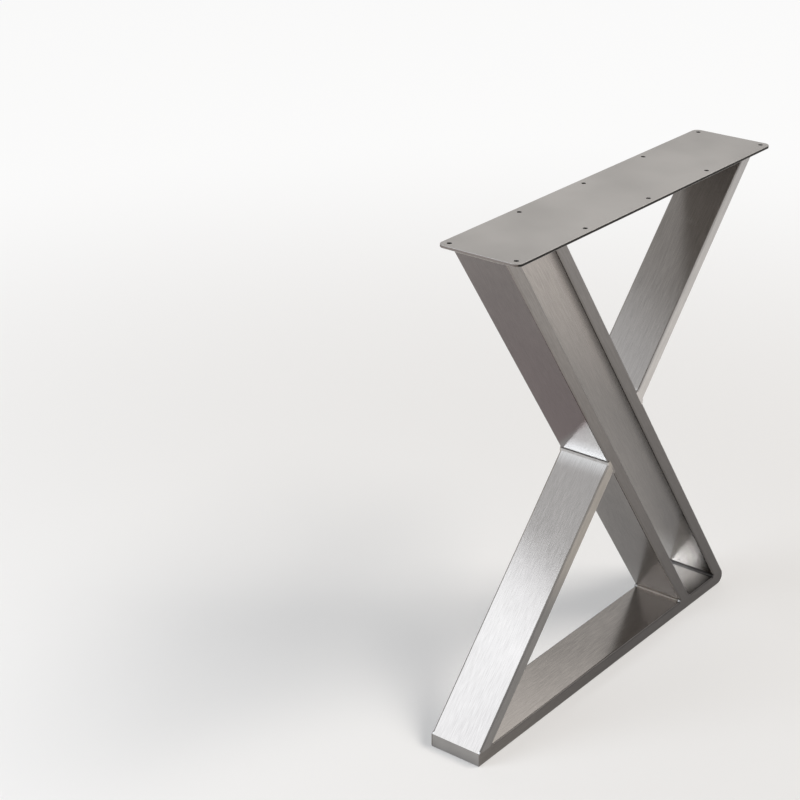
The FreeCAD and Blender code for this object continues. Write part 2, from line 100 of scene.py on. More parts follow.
# %% [markdown]
# ## Brushed grain
#
# A belt of abrasive grit leaves the steel covered in fine scratches that all run one way. From a step
# away they merge into a soft sheen, and only the deeper ones show as long pale and dark streaks. A
# picture of scratches would be the quick way, but it has an edge where it repeats. Noise that is
# stretched along the tube has none, and it covers all four sides of the tube at once. It is built once as
# a node group, and each tube turns it to its own direction.

# %% A node group for the grain
LINE_LENGTH_SHARE = 0.4


def new_group(name, inputs, outputs):
    """An empty shader group with named sockets: inputs have a default, outputs only a kind."""
    group = bpy.data.node_groups.new(name, "ShaderNodeTree")
    for label, kind, default in inputs:
        socket = group.interface.new_socket(label, in_out="INPUT", socket_type=kind)
        if default is not None:
            socket.default_value = default
    for label, kind in outputs:
        group.interface.new_socket(label, in_out="OUTPUT", socket_type=kind)
    return group, group.nodes.new("NodeGroupInput"), group.nodes.new("NodeGroupOutput")


def tell(group):
    """Print a group's name and what it gives."""
    outputs = [item.name for item in group.interface.items_tree if item.in_out == "OUTPUT"]
    print("group", group.name, "gives", outputs)


def add(tree, kind, **settings):
    """A new node with its settings."""
    node = tree.nodes.new(kind)
    for setting, value in settings.items():
        setattr(node, setting, value)
    return node


def feed(tree, socket, value):
    """Link an input to another node's output, or give it a plain value. None leaves it as it is."""
    if isinstance(value, bpy.types.NodeSocket):
        tree.links.new(value, socket)
    elif value is not None:
        socket.default_value = value


def math_node(tree, operation, first, second=None, third=None, clamp=False):
    """A math node whose inputs are numbers or sockets, given back as its output."""
    node = add(tree, "ShaderNodeMath", operation=operation, use_clamp=clamp)
    for socket, value in zip(node.inputs, (first, second, third)):
        feed(tree, socket, value)
    return node.outputs[0]


def build_brushed_grain():
    """Stretched noise at two widths: streaks that show from a step away and the fine lines between them."""
    group, given, result = new_group(
        "brushed_grain",
        [
            ("Vector", "NodeSocketVector", None),
            ("Streak Width", "NodeSocketFloat", 0.0014),
            ("Streak Length", "NodeSocketFloat", 0.024),
            ("Line Width", "NodeSocketFloat", 0.0005),
        ],
        [("Streaks", "NodeSocketFloat"), ("Lines", "NodeSocketFloat")],
    )
    for output, width, share_of_length in (
        ("Streaks", "Streak Width", 1.0),
        ("Lines", "Line Width", LINE_LENGTH_SHARE),
    ):
        length = math_node(group, "MULTIPLY", given.outputs["Streak Length"], share_of_length)
        cell = add(group, "ShaderNodeCombineXYZ")
        group.links.new(given.outputs[width], cell.inputs["X"])
        group.links.new(given.outputs[width], cell.inputs["Y"])
        group.links.new(length, cell.inputs["Z"])
        stretch = add(group, "ShaderNodeVectorMath", operation="DIVIDE")
        group.links.new(given.outputs["Vector"], stretch.inputs[0])
        group.links.new(cell.outputs["Vector"], stretch.inputs[1])
        noise = add(group, "ShaderNodeTexNoise", noise_dimensions="3D")
        noise.inputs["Scale"].default_value = 1.0
        noise.inputs["Detail"].default_value = 3.0
        noise.inputs["Roughness"].default_value = 0.6
        group.links.new(stretch.outputs["Vector"], noise.inputs["Vector"])
        group.links.new(noise.outputs["Fac"], result.inputs[output])
    return group


brushed_grain = build_brushed_grain()
tell(brushed_grain)

# %% [markdown]
# ## Handling
#
# Bare steel is never quite even: hands, wiping cloths and the sheet's own rolling leave large faint
# clouds, a little duller here and a little brighter there. One slow noise is enough for that, and the
# tubes, the plate and the welds share it, each with patches of its own width.

# %% A node group for the clouds


def build_handling_clouds():
    """Slow noise, centred on a half, in patches of the given width."""
    group, given, result = new_group(
        "handling_clouds",
        [("Vector", "NodeSocketVector", None), ("Patch", "NodeSocketFloat", 0.090)],
        [("Clouds", "NodeSocketFloat")],
    )
    per_metre = math_node(group, "DIVIDE", 1.0, given.outputs["Patch"])
    noise = add(group, "ShaderNodeTexNoise", noise_dimensions="3D")
    noise.inputs["Detail"].default_value = 2.0
    noise.inputs["Roughness"].default_value = 0.5
    group.links.new(given.outputs["Vector"], noise.inputs["Vector"])
    group.links.new(per_metre, noise.inputs["Scale"])
    group.links.new(noise.outputs["Fac"], result.inputs["Clouds"])
    return group


handling_clouds = build_handling_clouds()
tell(handling_clouds)

# %% [markdown]
# ## Bands beside a plane
#
# Where two tubes are welded, the joint is ground and brushed again by hand, and a band beside it comes
# out brighter than the rest. Most other bands are painted reflection and painted shade that end along a
# line. Such a band is measured as the distance from a plane: the dot product of a point with the plane's
# normal, less the plane's own offset.

# %% A node group for the band beside a plane


def build_plane_band():
    """One on the plane and behind it, fading to nothing at the given distance in front of it."""
    group, given, result = new_group(
        "plane_band",
        [
            ("Vector", "NodeSocketVector", None),
            ("Normal", "NodeSocketVector", None),
            ("Offset", "NodeSocketFloat", 0.0),
            ("Width", "NodeSocketFloat", 0.018),
        ],
        [("Band", "NodeSocketFloat")],
    )
    along = add(group, "ShaderNodeVectorMath", operation="DOT_PRODUCT")
    group.links.new(given.outputs["Vector"], along.inputs[0])
    group.links.new(given.outputs["Normal"], along.inputs[1])
    distance = math_node(group, "SUBTRACT", along.outputs["Value"], given.outputs["Offset"])
    fade = add(group, "ShaderNodeMapRange", interpolation_type="SMOOTHSTEP")
    fade.inputs["From Min"].default_value = 0.0
    group.links.new(given.outputs["Width"], fade.inputs["From Max"])
    fade.inputs["To Min"].default_value = 1.0
    fade.inputs["To Max"].default_value = 0.0
    group.links.new(distance, fade.inputs["Value"])
    group.links.new(fade.outputs["Result"], result.inputs["Band"])
    return group


plane_band = build_plane_band()
tell(plane_band)

# %% [markdown]
# ## Narrow sides
#
# The belt reaches the broad faces of a tube best. The narrow front and back were brushed by hand
# afterwards, also across the ground joints, so they are rougher. They are found by their distance from the
# middle of the leg, and the change lies on the tube's rounded edge. Their colour is a painted reflection,
# which also covers the ground joints so that no joint shows on them, and it is brighter towards one end of
# each tube, so the group also says how far along a direction a point lies.

# %% A node group for the narrow sides


def build_narrow_side():
    """One on the tube's narrow front and back, and a share that grows along the given direction."""
    group, given, result = new_group(
        "narrow_side",
        [
            ("Vector", "NodeSocketVector", None),
            ("Half Width", "NodeSocketFloat", TUBE_BROAD / 2),
            ("Edge Radius", "NodeSocketFloat", TUBE_EDGE_RADIUS),
            ("Direction", "NodeSocketVector", None),
            ("Start", "NodeSocketFloat", 0.0),
            ("End", "NodeSocketFloat", 1.0),
        ],
        [("Side", "NodeSocketFloat"), ("Along", "NodeSocketFloat")],
    )
    axes = add(group, "ShaderNodeSeparateXYZ")
    group.links.new(given.outputs["Vector"], axes.inputs[0])
    reach = math_node(group, "ABSOLUTE", axes.outputs["Y"])
    fade = add(group, "ShaderNodeMapRange", interpolation_type="SMOOTHSTEP")
    group.links.new(reach, fade.inputs["Value"])
    inner = math_node(group, "SUBTRACT", given.outputs["Half Width"], given.outputs["Edge Radius"])
    group.links.new(inner, fade.inputs["From Min"])
    group.links.new(given.outputs["Half Width"], fade.inputs["From Max"])
    group.links.new(fade.outputs["Result"], result.inputs["Side"])
    distance = add(group, "ShaderNodeVectorMath", operation="DOT_PRODUCT")
    group.links.new(given.outputs["Vector"], distance.inputs[0])
    group.links.new(given.outputs["Direction"], distance.inputs[1])
    along = add(group, "ShaderNodeMapRange")
    group.links.new(distance.outputs["Value"], along.inputs["Value"])
    group.links.new(given.outputs["Start"], along.inputs["From Min"])
    group.links.new(given.outputs["End"], along.inputs["From Max"])
    group.links.new(along.outputs["Result"], result.inputs["Along"])
    return group


narrow_side = build_narrow_side()
tell(narrow_side)

# %% [markdown]
# ## What the finishes share
#
# Every finish of the leg is a metallic Principled shader whose colour and roughness waver a little over
# the surface. The small parts that they need are written once: a group set in its place, a blend from one
# colour or number to another, a value that noise raises and lowers about its middle, and fine lines in
# relief. A Mix node has sockets of its own for each kind of value, so a table names the two inputs and the
# output of each.

# %% Helpers for the finishes
MIX_SOCKETS = {"FLOAT": (2, 3, 0), "VECTOR": (4, 5, 1), "RGBA": (6, 7, 2)}
GRAIN_HEIGHT = 0.00003


def place_group(tree, group, vector, **values):
    """A group node in a material, with its plain inputs set by name."""
    node = add(tree, "ShaderNodeGroup")
    node.node_tree = group
    tree.links.new(vector, node.inputs["Vector"])
    for label, value in values.items():
        node.inputs[label.replace("_", " ")].default_value = value
    return node


def blend(tree, kind, share, first, second):
    """A number, vector or colour between the first and the second, each a socket or a plain value."""
    node = add(tree, "ShaderNodeMix", data_type=kind, clamp_factor=True)
    first_input, second_input, output = MIX_SOCKETS[kind]
    feed(tree, node.inputs[0], share)
    feed(tree, node.inputs[first_input], first)
    feed(tree, node.inputs[second_input], second)
    return node.outputs[output]


def waver(tree, middle, noises, clamp=False):
    """A value that noises raise and lower about its middle. Each noise is centred on a half."""
    value = middle
    for noise, spread in noises:
        value = math_node(tree, "MULTIPLY_ADD", noise, spread, value)
    half_spread = sum(spread for noise, spread in noises) / 2
    return math_node(tree, "SUBTRACT", value, half_spread, clamp=clamp)


def shade_colour(tree, colour, tone, contrast):
    """A colour made darker or lighter by a tone that is centred on a half."""
    node = add(tree, "ShaderNodeVectorMath", operation="SCALE")
    feed(tree, node.inputs[0], colour)
    feed(tree, node.inputs["Scale"], waver(tree, 1.0, [(tone, contrast)]))
    return node.outputs["Vector"]


def raise_lines(tree, shader, lines, strength):
    """Fine lines in relief, which only the light feels."""
    bump = add(tree, "ShaderNodeBump")
    bump.inputs["Strength"].default_value = strength
    bump.inputs["Distance"].default_value = GRAIN_HEIGHT
    tree.links.new(lines, bump.inputs["Height"])
    tree.links.new(bump.outputs["Normal"], shader.inputs["Normal"])


def new_steel(name):
    """A material with a metallic Principled shader, its tree, the shader and the object coordinates."""
    material = bpy.data.materials.new(name)
    material.use_nodes = True
    tree = material.node_tree
    shader = tree.nodes["Principled BSDF"]
    shader.inputs["Metallic"].default_value = 1.0
    coordinates = add(tree, "ShaderNodeTexCoord").outputs["Object"]
    return material, tree, shader, coordinates


def dress(node, material):
    """Give a measured piece its finish, in every slot that it has."""
    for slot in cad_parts[node].material_slots:
        slot.material = material


print("the grain's relief is", round(GRAIN_HEIGHT * 1000, 3), "mm")

# %% [markdown]
# ## Painted reflection on the narrow sides
#
# The colour of a narrow side is a painted reflection that goes from one colour to another along a
# direction, between a start and an end. A named tuple keeps the five values together. The weld metal
# beside a tube is given the same ones later on, so that the joint between the two doesn't show.

# %% Painted reflection of the narrow sides
# Painted reflection: these colours stand in for what each tube's narrow sides reflect, duller at one end
# and brighter at the other.
SIDE_REFLECTION_DARK = (0.093, 0.086, 0.083, 1)
SIDE_REFLECTION_MIDDLE = (0.257, 0.240, 0.228, 1)
SIDE_REFLECTION_BRIGHT = (0.320, 0.297, 0.280, 1)
TOE_SIDE_REFLECTION_BRIGHT = (0.177, 0.164, 0.153, 1)
LOWER_SIDE_REFLECTION_DARK = (0.261, 0.252, 0.244, 1)
LOWER_SIDE_REFLECTION_BRIGHT = (0.437, 0.404, 0.367, 1)
UPPER_SIDE_REFLECTION_DARK = (0.437, 0.419, 0.405, 1)
UPPER_SIDE_REFLECTION_BRIGHT = (0.630, 0.602, 0.579, 1)
LOWER_SIDE_FADE = 0.06
UP = Vector((0, 0, 1))
lower_middle = lower_head.z / 2
bar_reach = -bar_low.x

SideReflection = namedtuple("SideReflection", "first_colour last_colour direction start end")
LEFT_SIDE = SideReflection(SIDE_REFLECTION_DARK, SIDE_REFLECTION_BRIGHT, UP, 0.0, plate_underside)
RIGHT_SIDE = SideReflection(SIDE_REFLECTION_DARK, SIDE_REFLECTION_MIDDLE, UP, 0.0, plate_underside)
LOWER_SIDE = SideReflection(
    LOWER_SIDE_REFLECTION_DARK, LOWER_SIDE_REFLECTION_BRIGHT, UP, lower_middle, lower_middle + LOWER_SIDE_FADE
)
UPPER_SIDE = SideReflection(UPPER_SIDE_REFLECTION_BRIGHT, UPPER_SIDE_REFLECTION_DARK, UP, upper_foot.z, plate_underside)
BAR_SIDE = SideReflection(SIDE_REFLECTION_DARK, TOE_SIDE_REFLECTION_BRIGHT, LEVEL_LEFT, 0.0, bar_reach)


def paint_side_reflection(tree, coordinates, colour, finish):
    """Lay the painted reflection of the narrow sides over a colour, and give back their mask too."""
    group = place_group(
        tree, narrow_side, coordinates, Direction=finish.direction, Start=finish.start, End=finish.end
    )
    side_colour = blend(tree, "RGBA", group.outputs["Along"], finish.first_colour, finish.last_colour)
    side = group.outputs["Side"]
    return blend(tree, "RGBA", side, colour, side_colour), side


print("the lower strut's side turns brighter", round(lower_middle, 3), "metres up")

# %% [markdown]
# ## Steel for the tubes
#
# The tubes are stainless, brushed lengthwise. Brushing spreads a reflection sideways, across the
# scratches, and keeps it short along them, which the anisotropy of the Principled shader does. Its
# tangent is the tube's own direction, and a quarter turn makes the spread run across it. The bands, most
# of them painted light, are laid over the tube's colour, then the narrow sides' painted reflection, and
# the grain goes over all of these in the end. It also changes the roughness and the height a little. Each
# tube has its own material because each leans its own way.

# %% A material for a tube
TUBE_ROUGHNESS = 0.16
SIDE_ROUGHNESS = 0.36
TUBE_ANISOTROPY = 0.65
ACROSS_THE_GRAIN = 0.25
GRAIN_CONTRAST = 0.28
GRAIN_RELIEF = 0.4
TONE_MIDDLE = 0.5
STREAK_TONE = 2.0
LINE_TONE = 0.5
CLOUD_TONE = 0.6
STREAK_ROUGHNESS = 0.08
CLOUD_ROUGHNESS = 0.06

Plane = namedtuple("Plane", "normal point width")
Band = namedtuple("Band", "colour share planes")


def beside_plane(tree, coordinates, plane):
    """A group node that gives one on a plane and fades over the plane's width."""
    offset = plane.normal.dot(plane.point)
    return place_group(
        tree, plane_band, coordinates, Normal=plane.normal, Offset=offset, Width=plane.width
    )


def lay_bands(tree, coordinates, colour, bands):
    """Lay bands over a colour. A band has its full share only where all of its planes give one."""
    for band in bands:
        share = band.share
        for plane in band.planes:
            mask = beside_plane(tree, coordinates, plane).outputs["Band"]
            share = math_node(tree, "MULTIPLY", mask, share)
        colour = blend(tree, "RGBA", share, colour, band.colour)
    return colour


def tube_steel(name, lean, seed_shift, colour, finish, bands):
    """Lengthwise brushed steel for a tube that leans by this angle about Y, with its bands of colour and
    the painted reflection of its narrow sides.
    """
    material, tree, shader, coordinates = new_steel(name)
    turn = add(tree, "ShaderNodeMapping", vector_type="TEXTURE")
    turn.inputs["Rotation"].default_value = (0, lean, 0)
    turn.inputs["Location"].default_value = (seed_shift, 0, 0)
    tree.links.new(coordinates, turn.inputs["Vector"])
    grain = place_group(tree, brushed_grain, turn.outputs["Vector"])
    streaks = grain.outputs["Streaks"]
    lines = grain.outputs["Lines"]
    clouds = place_group(tree, handling_clouds, turn.outputs["Vector"]).outputs["Clouds"]

    colour = lay_bands(tree, coordinates, colour, bands)
    # The narrow sides get their painted reflection.
    colour, side = paint_side_reflection(tree, coordinates, colour, finish)
    tones = [(streaks, STREAK_TONE), (lines, LINE_TONE), (clouds, CLOUD_TONE)]
    tone = waver(tree, TONE_MIDDLE, tones, clamp=True)
    tree.links.new(shade_colour(tree, colour, tone, GRAIN_CONTRAST), shader.inputs["Base Color"])
    roughness = blend(tree, "FLOAT", side, TUBE_ROUGHNESS, SIDE_ROUGHNESS)
    roughness = waver(tree, roughness, [(streaks, STREAK_ROUGHNESS), (clouds, CLOUD_ROUGHNESS)])
    tree.links.new(roughness, shader.inputs["Roughness"])
    raise_lines(tree, shader, lines, GRAIN_RELIEF)

    direction = add(tree, "ShaderNodeCombineXYZ")
    for socket, value in zip(direction.inputs, (math.sin(lean), 0, math.cos(lean))):
        socket.default_value = value
    tree.links.new(direction.outputs["Vector"], shader.inputs["Tangent"])
    shader.inputs["Anisotropic"].default_value = TUBE_ANISOTROPY
    shader.inputs["Anisotropic Rotation"].default_value = ACROSS_THE_GRAIN
    return material


print("roughness:", TUBE_ROUGHNESS, "on the broad faces,", SIDE_ROUGHNESS, "on the narrow sides")

# %% [markdown]
# ## Bands on the tubes
#
# Each tube has a list of bands: a colour, its greatest share, and the planes that bound it. Most of
# them are painted light. The long struts themselves have a painted-shade copy of the steel. The left face
# of the left long strut is duller above the crossing, a painted dark reflection, down to a slanted line
# that rises from its back edge to its front edge; below that line, above the crossing, a painted
# reflection brightens the corner. The right long strut has a painted reflection at both ends and a
# painted dark reflection along its front edge. In the slot between the two the base bar has a painted
# reflection at the back and a painted dark reflection at the front. Small painted reflections lighten the
# left long strut's foot and the base bar beside it, and the lower strut has painted shade at its foot.
# Only the narrow bands beside the cross struts' welds are ground steel.

# %% Dress the tubes
STEEL = (0.307, 0.285, 0.267, 1)
# Painted shade: a darker copy of the steel for the long struts, whose broad faces show the shaded floor
# behind the leg, and for the lower strut's foot.
SHADED_STEEL = (0.255, 0.236, 0.221, 1)
# Partly real and partly painted: ground steel beside the cross struts' welds, painted reflection in the
# other bands that use it.
DRESSED_AND_REFLECTION_STEEL = (0.57, 0.55, 0.53, 1)
# Painted reflection on the upper part of the right long strut.
HEAD_REFLECTION_STEEL = (0.580, 0.525, 0.482, 1)
# Painted reflection in the corner of the left long strut just above the crossing.
CROSSING_REFLECTION_STEEL = (0.290, 0.285, 0.279, 1)
# Painted dark reflection on the left long strut's left face.
DARK_REFLECTION_STEEL = (0.150, 0.106, 0.108, 1)
# Painted dark reflection along the right long strut's front edge and at the front of the slot.
EDGE_DARK_REFLECTION = (0.050, 0.045, 0.042, 1)
LONG_FACE_LEFT = Vector((-math.cos(LONG_LEAN), 0, -math.sin(LONG_LEAN)))
BACK = Vector((0, 1, 0))
BAR_LEAN = math.pi / 2
CORNER_HEIGHT = 0.074
CORNER_FADE = 0.012
SHARP_FADE = 0.004
front_edge = -BACK * TUBE_BROAD / 2
back_edge = BACK * TUBE_BROAD / 2
slot_left = left_foot + LEVEL_RIGHT * long_across
corner_slope = (BACK * CORNER_HEIGHT + UP * TUBE_BROAD).normalized()
corner_edge = lower_head + back_edge
in_the_slot = Plane(LEVEL_LEFT, slot_left, SHARP_FADE)

left_bands = [
    # Painted dark reflection above the slanted line.
    Band(DARK_REFLECTION_STEEL, share=0.84, planes=[
        Plane(-corner_slope, corner_edge, CORNER_FADE),
        Plane(UP, lower_head, width=0.60),
        Plane(-LONG_FACE_LEFT, left_head, width=0.010),
    ]),
    # Painted reflection in the corner above the crossing.
    Band(CROSSING_REFLECTION_STEEL, share=0.80, planes=[
        Plane(corner_slope, corner_edge, CORNER_FADE),
        Plane(-UP, lower_head, SHARP_FADE),
    ]),
    # A small painted reflection at the foot.
    Band(DRESSED_AND_REFLECTION_STEEL, share=0.20, planes=[Plane(UP, left_foot, width=0.080)]),
]
right_bands = [
    # Painted reflection at the foot.
    Band(DRESSED_AND_REFLECTION_STEEL, share=1.00, planes=[Plane(UP, right_foot, width=0.100)]),
    # Painted reflection at the head.
    Band(HEAD_REFLECTION_STEEL, share=1.00, planes=[Plane(-UP, right_head, width=0.340)]),
    # Painted dark reflection along the front edge.
    Band(EDGE_DARK_REFLECTION, share=0.70, planes=[Plane(BACK, front_edge, width=0.022)]),
]
lower_bands = [
    Band(DRESSED_AND_REFLECTION_STEEL, share=0.85, planes=[Plane(LONG_FACE_LEFT, lower_head, width=0.026)]),
    # Painted shade at the foot.
    Band(SHADED_STEEL, share=0.45, planes=[Plane(UP, lower_foot, width=0.110)]),
]
upper_bands = [
    Band(DRESSED_AND_REFLECTION_STEEL, share=0.85, planes=[Plane(-LONG_FACE_LEFT, upper_foot, width=0.008)]),
]
bar_bands = [
    # A small painted reflection on the base bar near the left long strut's foot.
    Band(DRESSED_AND_REFLECTION_STEEL, share=0.15, planes=[Plane(LEVEL_LEFT, left_foot, width=0.120)]),
    # Painted reflection at the back of the slot.
    Band(DRESSED_AND_REFLECTION_STEEL, share=0.95, planes=[in_the_slot, Plane(-BACK, back_edge, width=0.090)]),
    # Painted dark reflection at the front of the slot.
    Band(EDGE_DARK_REFLECTION, share=0.60, planes=[in_the_slot, Plane(BACK, front_edge, width=0.036)]),
]
# Each row: the lean, a shift that gives the tube a grain of its own, the colour (a painted-shade copy on
# the long struts), the sides' painted reflection, the bands.
tubes = {
    "left_long_strut": (-LONG_LEAN, 0.00, SHADED_STEEL, LEFT_SIDE, left_bands),
    "right_long_strut": (-LONG_LEAN, 0.13, SHADED_STEEL, RIGHT_SIDE, right_bands),
    "lower_strut": (CROSS_LEAN, 0.29, STEEL, LOWER_SIDE, lower_bands),
    "upper_strut": (CROSS_LEAN, 0.41, STEEL, UPPER_SIDE, upper_bands),
    "base_bar": (BAR_LEAN, 0.57, STEEL, BAR_SIDE, bar_bands),
}
for node, row in tubes.items():
    dress(node, tube_steel(node + "_steel", *row))
print("tubes dressed:", len(tubes))

# %% [markdown]
# ## Steel for the end caps
#
# The base bar is closed at both ends by a piece that was welded in and ground flush. Grinding goes round
# in small circles, so the caps have no grain, only a fine tooth and the same kind of clouds as the tubes.

# %% Material for the end caps
CAP_DARK = (0.304, 0.295, 0.288, 1)
CAP_LIGHT = (0.360, 0.350, 0.342, 1)
CAP_ROUGHNESS = 0.36
CAP_PATCH = 0.05
TOOTH_LENGTH = 0.004
TOOTH_RELIEF = 0.3
TOOTH_TONE = 0.4
SATIN_TONE = 3.2
SATIN_ROUGHNESS = 0.10


def satin_steel(name, dark, light, roughness_middle, patch, overlay):
    """Steel with no grain: a fine tooth and faint clouds. The overlay recolours some of its sides."""
    material, tree, shader, coordinates = new_steel(name)
    grain = place_group(tree, brushed_grain, coordinates, Streak_Length=TOOTH_LENGTH)
    tooth = grain.outputs["Lines"]
    clouds = place_group(tree, handling_clouds, coordinates, Patch=patch).outputs["Clouds"]
    tone = waver(tree, TONE_MIDDLE, [(clouds, SATIN_TONE), (tooth, TOOTH_TONE)], clamp=True)
    colour = overlay(tree, coordinates, blend(tree, "RGBA", tone, dark, light))
    tree.links.new(colour, shader.inputs["Base Color"])
    roughness = waver(tree, roughness_middle, [(clouds, SATIN_ROUGHNESS)])
    tree.links.new(roughness, shader.inputs["Roughness"])
    raise_lines(tree, shader, tooth, TOOTH_RELIEF)
    return material


def cap_sides(tree, coordinates, colour):
    """The caps' narrow sides, with the base bar's painted side reflection."""
    return paint_side_reflection(tree, coordinates, colour, BAR_SIDE)[0]


cap_material = satin_steel("end_cap_steel", CAP_DARK, CAP_LIGHT, CAP_ROUGHNESS, CAP_PATCH, cap_sides)
for node in ("left_end_cap", "right_end_cap"):
    dress(node, cap_material)
print("end caps dressed")

# %% [markdown]
# ## Steel for the screw plate
#
# The plate is cut from sheet and has the sheet's own satin face. Its long edges and its screw holes are
# dark, a painted dark reflection on the long edges and painted shade in the holes, and its short ends
# are lighter, a painted reflection. That needs no second material: the cut wall is where a point lies
# below the plate's top and above its underside, and the short ends are told by their place along it.

# %% Material for the screw plate
PLATE_DARK = (0.385, 0.369, 0.355, 1)
PLATE_LIGHT = (0.450, 0.432, 0.416, 1)
# Painted dark reflection on the long cut edges, and painted shade in the screw holes.
WALL_REFLECTION_AND_SHADE = (0.035, 0.032, 0.030, 1)
# Painted reflection on the short ends, lighter than the long edges.
END_REFLECTION = (0.180, 0.155, 0.140, 1)
PLATE_ROUGHNESS = 0.56
PLATE_PATCH = 0.12
EDGE_ROUNDING = 0.0005
EDGE_BLUR = EDGE_ROUNDING / 4
END_REACH = 0.003
END_BLUR = END_REACH / 3


def inside(tree, value, low, high, blur):
    """One where a number lies between two limits, fading over the blur at each of them."""
    rise = add(tree, "ShaderNodeMapRange", interpolation_type="SMOOTHSTEP")
    fall = add(tree, "ShaderNodeMapRange", interpolation_type="SMOOTHSTEP")
    for node, start, end in ((rise, low - blur, low + blur), (fall, high + blur, high - blur)):
        tree.links.new(value, node.inputs["Value"])
        node.inputs["From Min"].default_value = start
        node.inputs["From Max"].default_value = end
    return math_node(tree, "MULTIPLY", rise.outputs["Result"], fall.outputs["Result"])


def plate_wall(tree, coordinates, colour):
    """The plate's colour with a painted dark reflection on its long cut edges, painted shade in its holes
    and a lighter painted reflection on its short ends.
    """
    axes = add(tree, "ShaderNodeSeparateXYZ")
    tree.links.new(coordinates, axes.inputs[0])
    low = plate_low.z + EDGE_ROUNDING
    high = plate_high.z - EDGE_ROUNDING
    wall = inside(tree, axes.outputs["Z"], low, high, EDGE_BLUR)
    left_end = plate_low.x + END_REACH
    right_end = plate_high.x - END_REACH
    length = inside(tree, axes.outputs["X"], left_end, right_end, END_BLUR)
    edge = blend(tree, "RGBA", length, END_REFLECTION, WALL_REFLECTION_AND_SHADE)
    return blend(tree, "RGBA", wall, colour, edge)


dress("top_plate", satin_steel(
    "screw_plate_steel", PLATE_DARK, PLATE_LIGHT, PLATE_ROUGHNESS, PLATE_PATCH, plate_wall
))
print("plate dressed, cut wall", round((plate_high.z - plate_low.z) * 1000, 1), "mm high")

# %% [markdown]
# ## Weld metal
#
# The joints are welded and then dressed. The metal is the same steel, a little brighter where it was
# ground, and on the narrow sides it takes the tubes' painted reflection, so that it can't be told from
# the tubes. Along the crossing of the struts and in the slot at the right strut's foot a dark line runs
# in the very corner. At the feet of the long struts the metal is darker than elsewhere. The beads of the
# next step have a material of their own, a little warmer.

# %% Material for the welds
GROUND_WELD = ((0.34, 0.328, 0.316, 1), (0.50, 0.484, 0.468, 1))
FOOT_WELD = ((0.11, 0.104, 0.098, 1), (0.17, 0.161, 0.152, 1))
BEAD_WELD = ((0.24, 0.212, 0.186, 1), (0.36, 0.320, 0.282, 1))
# A dark line in the very corner of the crossing and of the slot.
CORNER_DARK_LINE = (0.030, 0.027, 0.025, 1)
CORNER_WIDTH = 0.0012
SEAM_WIDTH = 0.0060
WELD_ROUGHNESS = 0.34
WELD_ROUGHNESS_SPREAD = 0.16
WELD_PATCH = 0.006
WELD_TONE = 1.6
# The crossing weld's narrow sides get a painted reflection that turns brighter just below the crossing.
crossing_start = lower_head.z - 0.012
crossing_end = lower_head.z - 0.004
CROSSING_SIDE = SideReflection(SIDE_REFLECTION_MIDDLE, LOWER_SIDE_REFLECTION_BRIGHT, UP, crossing_start, crossing_end)


def weld_steel(name, shades, finish=None, corner=None):
    """Weld metal with small bright and dull patches, and if asked the narrow sides' painted reflection and
    a dark corner line.
    """
    material, tree, shader, coordinates = new_steel(name)
    clouds = place_group(tree, handling_clouds, coordinates, Patch=WELD_PATCH).outputs["Clouds"]
    tone = waver(tree, TONE_MIDDLE, [(clouds, WELD_TONE)], clamp=True)
    colour = blend(tree, "RGBA", tone, *shades)
    if corner:
        line = beside_plane(tree, coordinates, corner)
        width = math_node(tree, "MULTIPLY", clouds, 2 * corner.width)
        tree.links.new(width, line.inputs["Width"])
        colour = blend(tree, "RGBA", line.outputs["Band"], colour, CORNER_DARK_LINE)
    if finish:
        colour = paint_side_reflection(tree, coordinates, colour, finish)[0]
    tree.links.new(colour, shader.inputs["Base Color"])
    roughness = waver(tree, WELD_ROUGHNESS, [(clouds, WELD_ROUGHNESS_SPREAD)])
    tree.links.new(roughness, shader.inputs["Roughness"])
    return material


slot_corner = Plane(LONG_FACE_LEFT, right_foot, SEAM_WIDTH)
crossing_corner = Plane(LONG_FACE_LEFT, lower_head, CORNER_WIDTH)
welds = {
    "weld_left_strut_plate": ("left_head_weld", GROUND_WELD, LEFT_SIDE),
    "weld_right_strut_plate": ("right_head_weld", GROUND_WELD, RIGHT_SIDE),
    "weld_upper_strut_plate": ("upper_head_weld", GROUND_WELD, UPPER_SIDE),
    "weld_left_strut_base": ("left_foot_weld", FOOT_WELD, LEFT_SIDE),
    "weld_right_strut_base": ("right_foot_weld", FOOT_WELD, RIGHT_SIDE, slot_corner),
    "weld_lower_strut_base": ("lower_foot_weld", GROUND_WELD, BAR_SIDE),
    "weld_lower_strut_left_strut": ("crossing_weld", GROUND_WELD, CROSSING_SIDE, crossing_corner),
    "weld_upper_strut_right_strut": ("upper_foot_weld", GROUND_WELD, UPPER_SIDE),
}
for node, row in welds.items():
    dress(node, weld_steel(*row))
bead_material = weld_steel("bead_weld", BEAD_WELD)
print("welds dressed:", len(welds))

# %% [markdown]
# ## Weld beads
#
# In the corners that nobody looks into, the bead was left as the torch laid it: a rounded strip with a
# scale for each drop of filler. The strip follows a straight line and its scales repeat, so it is a
# Geometry Nodes tree. A flat grid is bent round into a closed skin: one side of the grid runs along the
# bead and the other round it. First come the tree's inputs and the two arcs of the skin's section, the
# outer one bulging from one leg to the other, the inner one sunk into the corner.

# %% The section of a bead
OUTER_SHARE = 0.75
SUNK = -0.12


